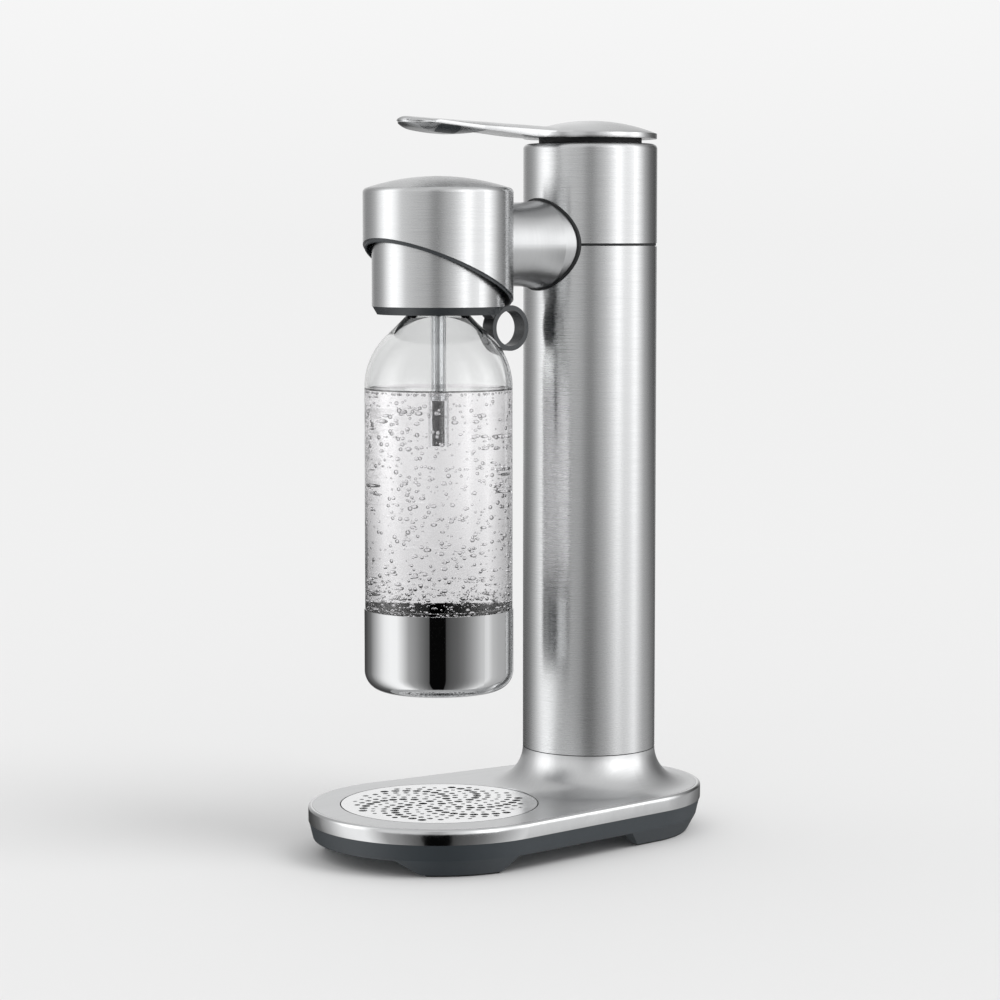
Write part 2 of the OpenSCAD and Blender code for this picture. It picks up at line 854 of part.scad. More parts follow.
module gas_tube() color("#2a2d30") {
    riser_y = bottle_y + riser_back;
    difference() {
        union() {
            rod_y(tube_r, riser_y + bend_r, column_y - valve_r, outlet_z);
            tube_bend(tube_r, riser_y + bend_r, outlet_z + bend_r, 180);
            translate([0, riser_y, 0]) disc(tube_r, outlet_z + bend_r, riser_z - bend_r);
            tube_bend(tube_r, riser_y - bend_r, riser_z - bend_r, 0);
            rod_y(tube_r, bottle_y + nozzle_r, riser_y - bend_r, riser_z);
        }
        rod_y(tube_bore_r, riser_y + bend_r, column_y, outlet_z);
        tube_bend(tube_bore_r, riser_y + bend_r, outlet_z + bend_r, 180);
        translate([0, riser_y, 0]) disc(tube_bore_r, outlet_z + bend_r, riser_z - bend_r);
        tube_bend(tube_bore_r, riser_y - bend_r, riser_z - bend_r, 0);
        rod_y(tube_bore_r, bottle_y, riser_y - bend_r, riser_z);
    }
}

module neck_section(r, wall_in) {
    l = axis_gap;
    difference() {
        square([r + neck_flare - wall_in, l]);
        translate([r - wall_in, -over]) square([neck_flare + over, l - column_r - neck_flare_l + over]);
        translate([r - wall_in + neck_flare_arc_r, l - column_r - neck_flare_l]) circle(r = neck_flare_arc_r);
    }
}

module neck() color("#b9bbbd") difference() {
    translate([0, bottle_y, neck_z]) rotate([-90, 0, 0]) rotate_extrude() difference() {
        neck_section(neck_r, 0);
        neck_section(neck_r, neck_wall);
    }
    at_bottle() disc(head_r, cap_low_z - axis_gap, column_top_z);
    at_column() disc(column_r + gasket_t, cap_low_z - axis_gap, column_top_z);
}

module neck_gasket() color("#1e2022") difference() {
    intersection() {
        rod_y(gasket_r, bottle_y + head_r, column_y, neck_z);
        at_column() disc(column_r + gasket_t, neck_z - 2 * gasket_r, neck_z + 2 * gasket_r);
    }
    rod_y(gasket_r - gasket_w, bottle_y, column_y + over, neck_z);
    at_column() disc(column_r, neck_z - 2 * gasket_r, neck_z + 2 * gasket_r);
}

module neck_core() color("#7d8184") difference() {
    rod_y(core_r, bottle_y, column_y, neck_z);
    rod_y(core_r - core_wall, bottle_y - over, column_y + over, neck_z);
    at_bottle() disc(liner_r, neck_z - 2 * core_r, neck_z + 2 * core_r);
    at_column() disc(chassis_r, neck_z - 2 * core_r, neck_z + 2 * core_r);
}

module neck_bolts() color("#55595c") both_sides() translate([bolt_x, 0, 0]) {
    edge_x = bolt_x + bolt_head_r;
    y0 = bottle_y + sqrt(liner_in_r * liner_in_r - edge_x * edge_x);
    y1 = column_y - sqrt(chassis_in_r * chassis_in_r - edge_x * edge_x);
    rod_y(bolt_r, y0 - bolt_head_h / 2, y1 + bolt_head_h / 2, bolt_z);
    rod_y(bolt_head_r, y0 - bolt_head_h, y0, bolt_z);
    rod_y(bolt_head_r, y1, y1 + bolt_head_h, bolt_z);
}

// Everything below the slanted lip, lowered square to it by drop
module below_lip(drop) {
    reach = 4 * head_r;
    at_bottle() translate([0, 0, lip_z]) rotate([-lip_slant, 0, 0])
        translate([-reach / 2, -reach / 2, -reach - drop]) cube(reach);
}

// Half section of the head drawn in by inset, its rounded edge tangent to the side and to the dome
module head_section(inset) {
    low_z = cap_low_z - head_r / 2;
    dome_z = head_shoulder_z + head_dome_h - dome_r;
    edge_x = head_r - head_edge_r;
    edge_z = dome_z + sqrt((dome_r - head_edge_r) * (dome_r - head_edge_r) - edge_x * edge_x);
    touch_x = edge_x * dome_r / (dome_r - head_edge_r);
    translate([0, low_z]) square([head_r - inset, edge_z - low_z]);
    translate([edge_x, edge_z]) circle(r = head_edge_r - inset);
    intersection() {
        translate([0, dome_z]) circle(r = dome_r - inset, $fn = 360);
        translate([0, edge_z - over]) square([touch_x - inset * (touch_x - edge_x) / head_edge_r, head_r]);
    }
}

module head_shell() color("#b9bbbd") difference() {
    at_bottle() rotate_extrude() difference() {
        head_section(0);
        head_section(head_wall);
    }
    below_lip(0);
    core_passage();
}

module head_liner() color("#33383b") difference() {
    at_bottle() {
        ring(liner_r, liner_in_r, cap_low_z - head_r / 2, liner_top_z);
        disc(liner_r, liner_top_z - liner_top_t, liner_top_z);
        both_sides() intersection() {
            rod_x(boss_r, boss_in_x, liner_r, 0, tilt_z);
            disc(liner_r, tilt_z - boss_r - over, tilt_z + boss_r + over);
        }
    }
    below_lip(lip_proud);
    at_bottle() {
        disc(nozzle_r, liner_top_z - liner_top_t - over, liner_top_z + over);
        rod_x(socket_pin_r + run_gap, -head_r, head_r, 0, tilt_z);
        translate([0, riser_back, 0])
            disc(tube_r + seat_gap + riser_play, liner_top_z - liner_top_t - over, liner_top_z + over);
    }
    rod_y(tube_r + seat_gap, bottle_y + riser_back, column_y, outlet_z);
    both_sides() translate([bolt_x, 0, 0])
        rod_y(bolt_r + seat_gap, bottle_y + riser_back, column_y, bolt_z);
}

module nozzle_block() color("#8b8f92") at_bottle() difference() {
    disc(nozzle_r, socket_top_z + over, nozzle_top_z);
    translate([0, 0, tilt_z]) sphere(r = ball_r + ball_gap);
    disc(tube_bore_r, socket_top_z, riser_z);
    rod_y(tube_bore_r, 0, nozzle_r + over, riser_z);
}

// Lever

// Plan of the round end and the handle, with the concave blends between them
module lever_plan() {
    half_w = lever_w / 2;
    blend_x = half_w + lever_blend_r;
    blend_y = -sqrt((lever_r + lever_blend_r) * (lever_r + lever_blend_r) - blend_x * blend_x);
    touch = lever_r / (lever_r + lever_blend_r);
    difference() {
        union() {
            circle(r = lever_r);
            handle_plan(0);
            polygon([[-blend_x * touch, blend_y * touch], [blend_x * touch, blend_y * touch],
                [half_w, blend_y], [-half_w, blend_y]]);
        }
        translate([blend_x, blend_y]) circle(r = lever_blend_r);
        translate([-blend_x, blend_y]) circle(r = lever_blend_r);
    }
}

module handle_plan(inset) {
    half_w = lever_w / 2;
    translate([inset - half_w, half_w - lever_reach]) square([lever_w - 2 * inset, lever_reach - half_w]);
    translate([0, half_w - lever_reach]) circle(r = half_w - inset);
}

// Height of the handle's lower face at y: level up to the root, a bend, then a steady rise to the tip
function handle_low(y) = let (run = handle_root - y, bend = handle_bend_r * sin(handle_rise))
    lever_low_z + (run < 0 ? 0
        : run < bend ? handle_bend_r - sqrt(handle_bend_r * handle_bend_r - run * run)
        : handle_bend_r * (1 - cos(handle_rise)) + (run - bend) * tan(handle_rise));

// Height of the plate's upper face, which thins from the rim to the grip
function handle_high(y) = handle_low(y) + lever_rim_t
    + (handle_tip_t - lever_rim_t) * min(1, max(0, (handle_root - y) / handle_thin_l));

function handle_y(i) = -i * (lever_reach + over) / handle_steps;

// A profile in Y and Z drawn out across the handle
module across_handle() {
    translate([-lever_r, 0, 0]) rotate([90, 0, 90]) linear_extrude(2 * lever_r) children();
}

// All that lies over the handle's lower face
module over_handle_low() {
    across_handle() polygon(concat(
        [for (i = [0 : handle_steps]) [handle_y(i), handle_low(handle_y(i))]],
        [[handle_y(handle_steps), lever_low_z + lever_w], [0, lever_low_z + lever_w]]));
}

module lever_top() color("#c4c6c8") at_column() difference() {
    $fn = 240;
    union() {
        intersection() {
            disc(lever_r, lever_low_z, lever_low_z + lever_rim_t + lever_dome_h);
            translate([0, 0, lever_low_z + lever_rim_t + lever_dome_h - lever_dome_ball()])
                sphere(r = lever_dome_ball());
        }
        intersection() {
            translate([0, 0, lever_low_z]) linear_extrude(lever_w) lever_plan();
            across_handle() polygon(concat(
                [for (i = [0 : handle_steps]) [handle_y(i), handle_low(handle_y(i))]],
                [for (i = [handle_steps : -1 : 0]) [handle_y(i), handle_high(handle_y(i))]]));
        }
        handle_crown();
    }
    disc(hub_r + run_gap, lever_low_z - over, lever_low_z + hub_above);
}

function lever_dome_ball() = (lever_r * lever_r + lever_dome_h * lever_dome_h) / (2 * lever_dome_h);

// Rounded back of the handle, running in under the dome
module handle_crown() {
    half_w = lever_w / 2;
    crown_r = (half_w * half_w + crown_h * crown_h) / (2 * crown_h);
    intersection() {
        translate([0, 0, lever_low_z]) linear_extrude(lever_w) handle_plan(0);
        over_handle_low();
        translate([0, handle_root, lever_low_z + crown_over - crown_r]) rotate([-crown_rise, 0, 0])
            rod_y(crown_r, -2 * lever_reach, lever_reach, 0);
    }
}

module lever_slot(grow) {
    slot_side = (slot_l - slot_h) / 2;
    translate([0, -slot_mid, slot_z]) rotate([-handle_rise, 0, 0]) both_sides() {
        box([slot_in_x, -slot_side, -slot_h / 2 - grow], [lever_w, slot_side, slot_h / 2 + grow]);
        for (s = [-1, 1]) rod_x(slot_h / 2 + grow, slot_in_x, lever_w, s * slot_side, 0);
    }
}

module underside_block() {
    $fn = 360;
    intersection() {
        translate([0, 0, shell_low_start - over]) linear_extrude(lever_w) difference() {
            handle_plan(shell_inset);
            translate([0, lever_reach - grip_start]) square(2 * lever_reach, center = true);
        }
        translate([0, -grip_start, shell_low_start + shell_round_r]) rotate([-shell_rise, 0, 0])
            rod_y(shell_round_r, -2 * lever_reach, lever_reach, 0);
        rod_x(tip_round_r, -lever_w, lever_w, -tip_round_start, shell_low_start + shell_rise + tip_round_r);
    }
}

module lever_underside() color("#c4c6c8") at_column() difference() {
    underside_block();
    over_handle_low();
    lever_slot(0);
}

module lever_grip() color("#2f3437") at_column() intersection() {
    underside_block();
    lever_slot(-run_gap);
}

module lever_hub() color("#1e2123") difference() {
    at_column() {
        disc(hub_r, column_top_z - hub_below, lever_low_z + hub_above - seat_gap);
        disc(cam_r, column_top_z - hub_below - cam_below, column_top_z - hub_below);
        both_sides() {
            box([lug_in_x, pivot_back - lug_r, pivot_z],
                [lug_in_x + lug_t, pivot_back + lug_r, column_top_z - hub_below]);
            rod_x(lug_r, lug_in_x, lug_in_x + lug_t, pivot_back, pivot_z);
        }
    }
    rod_x(pivot_r + run_gap, -column_r, column_r, column_y + pivot_back, pivot_z);
}

// Socket and cap

module bottle_socket() color("#6f7478") at_bottle() difference() {
    union() {
        disc(socket_r, socket_low_z, socket_top_z);
        intersection() {
            translate([0, 0, tilt_z]) sphere(r = ball_r);
            disc(ball_r, tilt_z, tilt_z + ball_r + over);
        }
    }
    disc(stem_r + run_gap, socket_low_z - over, stem_top_z + seat_gap);
    disc(core_channel_r, socket_low_z, tilt_z + ball_r + over);
    rod_x(socket_pin_r, socket_pin_in, head_r, 0, tilt_z);
    rod_x(socket_pin_r, -head_r, -socket_pin_in, 0, tilt_z);
    groove = seal_r + run_gap;
    ring(stem_r + groove + seal_r, stem_r, socket_seal_z - groove, socket_seal_z + groove);
}

module socket_pins() color("#c4c6c8") at_bottle() both_sides()
    rod_x(socket_pin_r, socket_pin_in, liner_in_r, 0, tilt_z);

module socket_seal() color("#1c1e20") at_bottle() rotate_extrude()
    translate([stem_r + seal_r + run_gap, socket_seal_z]) circle(r = seal_r);

module cap_shell() color("#b9bbbd") at_bottle() rotate_extrude() difference() {
    topped(cap_r, cap_low_z, cap_top_z, cap_edge_r);
    topped(cap_r - cap_wall, cap_low_z - over, cap_top_z - cap_wall, cap_edge_r - cap_wall);
    square([stem_r + run_gap, column_top_z]);
}

module cap_core() color("#4a4f52") at_bottle() difference() {
    sleeve_in_r = bottle_neck_r + thread_gap;
    union() {
        disc(core_rim_r, core_disc_z, core_disc_z + core_disc_t);
        ring(sleeve_in_r + sleeve_wall, sleeve_in_r, cap_low_z, core_disc_z + over);
        ring(core_rim_r, core_rim_r - core_rib_t, core_disc_z, cap_top_z - cap_wall - seat_gap);
        disc(stem_r, core_disc_z, stem_top_z);
    }
    disc(carb_r, core_disc_z - over, carb_high_z);
    disc(core_channel_r, core_disc_z, stem_top_z + over);
}

module cap_collar() color("#2c3033") difference() {
    at_bottle() difference() {
        translate([0, 0, collar_z]) cylinder(r1 = collar_low_r, r2 = collar_top_r, h = cap_low_z - collar_z);
        disc(collar_bore_r, collar_z - over, cap_low_z + over);
        box([-ring_w / 2 - ring_notch_gap, ring_notch_depth, collar_z - over],
            [ring_w / 2 + ring_notch_gap, head_r, cap_low_z + over]);
        rod_x(ring_pin_r, -ring_pin_half_l, ring_pin_half_l, eye_back, eye_z);
    }
}

module cap_seal() color("#1c1e20") at_bottle() translate([0, 0, bottle_mouth_z + run_gap])
    ring(bottle_neck_r, bottle_neck_r - bottle_wall - sleeve_wall, 0, cap_seal_t);

module vent_ring() color("#2c3033") at_bottle() difference() {
    union() {
        rod_x(eye_r, -ring_w / 2, ring_w / 2, eye_back, eye_z);
        rod_x(ring_r, -ring_w / 2, ring_w / 2, ring_back, ring_z);
        ring_arm();
    }
    rod_x(ring_hole_r, -ring_w, ring_w, ring_back, ring_z);
    rod_x(ring_pin_r + run_gap, -ring_w, ring_w, eye_back, eye_z);
}

// Bar from the eye to the ring, along the line between their centres
module ring_arm() {
    fall = atan2(eye_z - ring_z, ring_back - eye_back);
    reach = norm([ring_back - eye_back, ring_z - eye_z]) - (ring_r + ring_hole_r) / 2;
    eye_w = eye_w_share * eye_r;
    arm_w = ring_w - 2 * ring_arm_inset;
    translate([-arm_w / 2, eye_back, eye_z]) rotate([-fall, 0, 0]) rotate([90, 0, 90]) linear_extrude(arm_w)
        polygon([[0, -eye_w / 2], [reach, -ring_arm_w / 2], [reach, ring_arm_w / 2], [0, eye_w / 2]]);
}

module vent_pin() color("#c4c6c8") at_bottle()
    rod_x(ring_pin_r, -ring_pin_half_l, ring_pin_half_l, eye_back, eye_z);

module carbonating_tube() color("#c4c6c8") at_bottle() ring(carb_r, carb_bore_r, carb_low_z, carb_high_z);

module tube_sheath() color("#dfe6ea", 0.4) at_bottle()
    ring(sheath_r, sheath_r - sheath_wall, tube_low_z, sheath_high_z);

module diffuser() color("#3a3a40") at_bottle() {
    disc(diffuser_r, tube_low_z + diffuser_lift, carb_low_z);
    disc(carb_bore_r - run_gap, carb_low_z, carb_low_z + diffuser_spigot);
}

// Bottle

// Half section of the bottle drawn in by inset, from its foot to its mouth
module bottle_section(inset) {
    shoulder_centre = [bottle_r - shoulder_arc_r, shoulder_z];
    end_r = shoulder_centre[0] + sqrt((shoulder_arc_r - inset) * (shoulder_arc_r - inset)
        - (shoulder_end_z - shoulder_z) * (shoulder_end_z - shoulder_z));
    step_z = cup_lip_z + cup_seat + inset;
    foot_edge_r = cup_edge_r - cup_wall_t - cup_seat;
    footed(bottle_foot_r - inset, bottle_foot_z + inset, shoulder_z, foot_edge_r - inset);
    translate([0, step_z]) square([bottle_r - inset, shoulder_z - step_z]);
    intersection() {
        translate(shoulder_centre) circle(r = shoulder_arc_r - inset);
        translate([0, shoulder_z - over]) square([bottle_r, shoulder_end_z - shoulder_z + over]);
    }
    polygon([[0, shoulder_end_z - over], [end_r, shoulder_end_z], [bottle_neck_r - inset, neck_low_z - inset],
        [0, neck_low_z]]);
    translate([0, neck_low_z - over - inset])
        square([bottle_neck_r - inset, bottle_mouth_z - neck_low_z + over + inset]);
}

module bottle() color("#dbe3e6", 0.35) at_bottle() rotate_extrude() difference() {
    bottle_section(0);
    bottle_section(bottle_wall);
    translate([0, neck_low_z]) square([bottle_neck_r - bottle_wall, bottle_mouth_z]);
}

module bottle_cup() color("#c4c6c8") at_bottle() rotate_extrude() difference() {
    footed(cup_outer_r, bottle_low_z, cup_lip_z, cup_edge_r);
    footed(cup_outer_r - cup_wall_t, bottle_low_z + cup_wall_t, cup_lip_z + over, cup_edge_r - cup_wall_t);
}

base_plate();
base_rim();
base_underbody();
foot_pads();
base_frame();
base_screws();
drip_cup();
drip_grille();
foot_seal();
lower_column();
seam_ring();
upper_column();
column_chassis();
cylinder_cradle();
cylinder_pad();
rear_cover();
cover_frame();
gas_cylinder();
cylinder_valve();
valve_pin();
valve_body();
valve_seal();
relief_valve();
plunger();
plunger_spring();
pivot_bracket();
pivot_pin();
chassis_screws();
gas_tube();
neck();
neck_core();
neck_gasket();
neck_bolts();
head_shell();
head_liner();
nozzle_block();
lever_top();
lever_underside();
lever_hub();
lever_grip();
bottle_socket();
socket_pins();
socket_seal();
cap_shell();
cap_core();
cap_collar();
cap_seal();
vent_ring();
vent_pin();
carbonating_tube();
tube_sheath();
diffuser();
bottle();
bottle_cup();
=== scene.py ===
import json
import math
import random

import bmesh
import bpy
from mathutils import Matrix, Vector


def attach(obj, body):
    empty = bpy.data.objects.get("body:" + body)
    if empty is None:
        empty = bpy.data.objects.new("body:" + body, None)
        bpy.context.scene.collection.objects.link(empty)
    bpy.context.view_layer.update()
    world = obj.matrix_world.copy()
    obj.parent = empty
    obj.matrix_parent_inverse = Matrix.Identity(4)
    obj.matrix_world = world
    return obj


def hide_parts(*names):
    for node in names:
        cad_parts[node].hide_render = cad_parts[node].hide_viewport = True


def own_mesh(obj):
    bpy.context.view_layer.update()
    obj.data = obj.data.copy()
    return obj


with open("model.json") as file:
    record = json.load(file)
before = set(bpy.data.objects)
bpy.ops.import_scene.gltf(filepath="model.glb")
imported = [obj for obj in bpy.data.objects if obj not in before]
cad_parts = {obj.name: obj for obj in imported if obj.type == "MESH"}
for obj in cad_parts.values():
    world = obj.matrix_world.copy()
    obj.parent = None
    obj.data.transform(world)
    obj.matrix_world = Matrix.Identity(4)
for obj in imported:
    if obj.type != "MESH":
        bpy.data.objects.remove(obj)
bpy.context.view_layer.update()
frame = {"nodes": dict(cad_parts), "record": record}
nodes = frame["nodes"]
print("frame loaded,", len(nodes), "nodes")

# where the bottle and the column stand, in metres
place = {"bottleY": -0.05225, "columnY": 0.06075}

# how each kind of finish varies over its surface: noise between from and to gives dark to light,
# and height is the bump's, in metres
grainLook = {
    "detail": 4.0, "rough": 0.65, "broad": 0.22, "broadShare": 0.25, "from": 0.4, "to": 0.85,
    "contrast": 0.035, "roughPlay": 0.03, "turn": 0.25, "height": 0.0002,
}
polishLook = {
    "dark": 0.93, "light": 1.05, "from": 0.3, "to": 0.7, "least": 0.7, "most": 1.3, "height": 0.002,
}
plasticLook = {
    "patch": 60, "dark": 0.88, "light": 1.12, "from": 0.3, "to": 0.7, "smoother": 0.05, "rougher": 0.07,
    "height": 0.00012,
}
clearLook = {"flow": (30, 30, 14), "dark": 0.985, "light": 1.0, "wave": 0.02, "height": 0.002}
paintLook = {
    "peel": 500, "patch": 30, "dark": 0.93, "light": 1.05, "from": 0.3, "to": 0.7, "smoother": 0.04,
    "rougher": 0.06, "coat": 0.3, "wave": 0.06, "height": 0.0002,
}


def newMaterial(name):
    material = bpy.data.materials.new(name)
    material.use_nodes = True
    tree = material.node_tree
    tree.nodes.clear()
    output = tree.nodes.new("ShaderNodeOutputMaterial")
    shader = tree.nodes.new("ShaderNodeBsdfPrincipled")
    tree.links.new(shader.outputs[0], output.inputs["Surface"])
    return material, tree, shader


def node(tree, kind, **inputs):
    made = tree.nodes.new(kind)
    for key, value in inputs.items():
        made.inputs[key].default_value = value
    return made


def calculated(tree, operation, *values):
    # a Math node, with numbers set on its sockets and outputs of other nodes linked to them
    made = tree.nodes.new("ShaderNodeMath")
    made.operation = operation
    for index, value in enumerate(values):
        if isinstance(value, bpy.types.NodeSocket):
            tree.links.new(value, made.inputs[index])
        else:
            made.inputs[index].default_value = value
    return made.outputs[0]


def colourMix(tree, share, first, second):
    mix = tree.nodes.new("ShaderNodeMix")
    mix.data_type = "RGBA"
    tree.links.new(share, mix.inputs["Factor"])
    for name, value in (("A", first), ("B", second)):
        if isinstance(value, bpy.types.NodeSocket):
            tree.links.new(value, mix.inputs[name])
        else:
            mix.inputs[name].default_value = (*value, 1)
    return mix.outputs["Result"]


def shaderMix(tree, share, first, second):
    mix = tree.nodes.new("ShaderNodeMixShader")
    for index, value in enumerate((share, first, second)):
        tree.links.new(value, mix.inputs[index])
    return mix.outputs[0]


def stretchedNoise(tree, scale, detail, rough=0.5):
    # noise in object coordinates, scaled per axis, so that grain runs along the small scales
    coords = tree.nodes.new("ShaderNodeTexCoord")
    mapping = node(tree, "ShaderNodeMapping", Scale=scale)
    tree.links.new(coords.outputs["Object"], mapping.inputs["Vector"])
    made = node(tree, "ShaderNodeTexNoise", Scale=1.0, Detail=detail, Roughness=rough)
    tree.links.new(mapping.outputs[0], made.inputs["Vector"])
    return made.outputs[0]


def ramp(tree, value, low, high, start, end):
    made = tree.nodes.new("ShaderNodeMapRange")
    made.inputs["From Min"].default_value = low
    made.inputs["From Max"].default_value = high
    made.inputs["To Min"].default_value = start
    made.inputs["To Max"].default_value = end
    tree.links.new(value, made.inputs["Value"])
    return made.outputs[0]


def shaded(tree, shader, colour, value, dark, light):
    # the colour, darker or lighter by a value from 0 to 1
    darker = [c * dark for c in colour]
    lighter = [min(1, c * light) for c in colour]
    tree.links.new(colourMix(tree, value, darker, lighter), shader.inputs["Base Color"])


def roughened(tree, shader, value, look, start, end):
    tree.links.new(ramp(tree, value, look["from"], look["to"], start, end), shader.inputs["Roughness"])


def bumped(tree, shader, value, strength, height):
    bump = node(tree, "ShaderNodeBump", Strength=strength, Distance=height)
    tree.links.new(value, bump.inputs["Height"])
    tree.links.new(bump.outputs[0], shader.inputs["Normal"])


def grainedSteel(name, colour, rough, grain, depth=0.02, spread=0.8):
    # spread draws reflections out along the upright axis, as fine lines turned round a column do
    look = grainLook
    material, tree, shader = newMaterial(name)
    fine = stretchedNoise(tree, grain, look["detail"], look["rough"])
    broad = stretchedNoise(tree, tuple(g * look["broad"] for g in grain), 2.0)
    streaks = calculated(tree, "MULTIPLY_ADD", broad, look["broadShare"], fine)
    tone = ramp(tree, streaks, look["from"], look["to"], 0, 1)
    shaded(tree, shader, colour, tone, 1 - look["contrast"], 1 + look["contrast"])
    roughened(tree, shader, streaks, look, rough + look["roughPlay"], rough - look["roughPlay"])
    shader.inputs["Metallic"].default_value = 1
    shader.inputs["Anisotropic"].default_value = spread
    shader.inputs["Anisotropic Rotation"].default_value = look["turn"]
    if spread:
        tangent = tree.nodes.new("ShaderNodeTangent")
        tangent.direction_type = "RADIAL"
        tangent.axis = "Z"
        tree.links.new(tangent.outputs[0], shader.inputs["Tangent"])
    bumped(tree, shader, streaks, depth, look["height"])
    return material


def polishedSteel(name, colour, rough, cloud, wave=0.02):
    look = polishLook
    material, tree, shader = newMaterial(name)
    clouds = stretchedNoise(tree, (cloud,) * 3, 3.0)
    shaded(tree, shader, colour, clouds, look["dark"], look["light"])
    roughened(tree, shader, clouds, look, rough * look["least"], rough * look["most"])
    shader.inputs["Metallic"].default_value = 1
    bumped(tree, shader, clouds, wave, look["height"])
    return material


def mouldedPlastic(name, colour, rough, texture=1400, depth=0.15):
    look = plasticLook
    material, tree, shader = newMaterial(name)
    grain = stretchedNoise(tree, (texture,) * 3, 2.0)
    patches = stretchedNoise(tree, (look["patch"],) * 3, 2.0)
    shaded(tree, shader, colour, patches, look["dark"], look["light"])
    roughened(tree, shader, grain, look, rough - look["smoother"], rough + look["rougher"])
    bumped(tree, shader, grain, depth, look["height"])
    return material


def clearWall(name, tint, ior):
    look = clearLook
    material, tree, shader = newMaterial(name)
    flow = stretchedNoise(tree, look["flow"], 1.0)
    shaded(tree, shader, tint, flow, look["dark"], look["light"])
    shader.inputs["Transmission Weight"].default_value = 1
    shader.inputs["IOR"].default_value = ior
    shader.inputs["Roughness"].default_value = 0
    bumped(tree, shader, flow, look["wave"], look["height"])
    return material


def paintedMetal(name, colour, rough):
    look = paintLook
    material, tree, shader = newMaterial(name)
    peel = stretchedNoise(tree, (look["peel"],) * 3, 2.0)
    broad = stretchedNoise(tree, (look["patch"],) * 3, 2.0)
    shaded(tree, shader, colour, broad, look["dark"], look["light"])
    roughened(tree, shader, peel, look, rough - look["smoother"], rough + look["rougher"])
    shader.inputs["Coat Weight"].default_value = look["coat"]
    bumped(tree, shader, peel, look["wave"], look["height"])
    return material


# one finish for each material slot of the record: name, colour, roughness and the size of its grain
finishes = {
    "brushed_steel": grainedSteel("brushedSteel", (0.56, 0.565, 0.57), 0.27, (55, 55, 3200), depth=0.006),
    "neck_steel": grainedSteel("neckSteel", (0.47, 0.475, 0.48), 0.3, (60, 2600, 60), spread=0),
    "satin_steel": grainedSteel("satinSteel", (0.61, 0.615, 0.62), 0.34, (2600, 30, 600), spread=0),
    "tube_steel": grainedSteel("tubeSteel", (0.5, 0.505, 0.51), 0.2, (900, 900, 30), spread=0),
    "screw_steel": grainedSteel("screwSteel", (0.2, 0.2, 0.205), 0.4, (900, 900, 900), spread=0),
    "lever_steel": polishedSteel("leverSteel", (0.56, 0.565, 0.57), 0.25, 40),
    "polished_steel": polishedSteel("polishedSteel", (0.58, 0.585, 0.59), 0.1, 70, wave=0.05),
    "mirror_steel": polishedSteel("mirrorSteel", (0.64, 0.645, 0.65), 0.03, 20, wave=0.0),
    "grille_steel": polishedSteel("grilleSteel", (0.86, 0.865, 0.87), 0.24, 90),
    "valve_brass": polishedSteel("valveBrass", (0.69, 0.48, 0.22), 0.25, 200),
    "cast_aluminium": polishedSteel("castAluminium", (0.5, 0.51, 0.52), 0.42, 600, wave=0.2),
    "cylinder_steel": paintedMetal("cylinderPaint", (0.28, 0.33, 0.36), 0.35),
    "base_plastic": mouldedPlastic("basePlastic", (0.030, 0.038, 0.045), 0.42),
    "dark_plastic": mouldedPlastic("darkPlastic", (0.006, 0.007, 0.008), 0.6),
    "inner_plastic": mouldedPlastic("innerPlastic", (0.10, 0.115, 0.125), 0.5),
    "liner_plastic": mouldedPlastic("linerPlastic", (0.030, 0.035, 0.040), 0.38),
    "collar_plastic": mouldedPlastic("collarPlastic", (0.030, 0.034, 0.038), 0.3, depth=0.05),
    "grip_plastic": mouldedPlastic("gripPlastic", (0.028, 0.033, 0.037), 0.28, depth=0.05),
    "porous_plastic": mouldedPlastic("porousPlastic", (0.03, 0.03, 0.035), 0.7, texture=900, depth=0.8),
    "black_rubber": mouldedPlastic("blackRubber", (0.012, 0.013, 0.014), 0.75, texture=900, depth=0.2),
    "clear_plastic": clearWall("sheathPlastic", (0.97, 0.975, 0.98), 1.45),
    "bottle_plastic": clearWall("bottlePlastic", (0.935, 0.94, 0.94), 1.5),
}
print("finishes made,", len(finishes))

slotOf = {row["node"]: row["material_slot"] for row in frame["record"]["subparts"]}
for name, piece in nodes.items():
    piece.data.materials.clear()
    piece.data.materials.append(finishes[slotOf[name]])


def placed(name, data):
    made = bpy.data.objects.new(name, data)
    bpy.context.scene.collection.objects.link(made)
    return made


def turnsMoreThan(edge, degrees):
    return len(edge.link_faces) == 2 and edge.calc_face_angle() > math.radians(degrees)


def shadeSmooth(work, sharpAngle):
    for edge in work.edges:
        edge.smooth = not turnsMoreThan(edge, sharpAngle)
    for face in work.faces:
        face.smooth = True


def addPiece(name, verts, faces, material, body, sharpAngle=30):
    mesh = bpy.data.meshes.new(name)
    mesh.from_pydata(verts, [], faces)
    mesh.validate()
    work = bmesh.new()
    work.from_mesh(mesh)
    bmesh.ops.remove_doubles(work, verts=work.verts, dist=1e-7)
    bmesh.ops.recalc_face_normals(work, faces=work.faces)
    shadeSmooth(work, sharpAngle)
    work.to_mesh(mesh)
    work.free()
    mesh.materials.append(material)
    piece = placed(name, mesh)
    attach(piece, body)
    return piece


# past this many degrees an edge of a copied piece stays sharp in its shading
copySharpAngle = 40


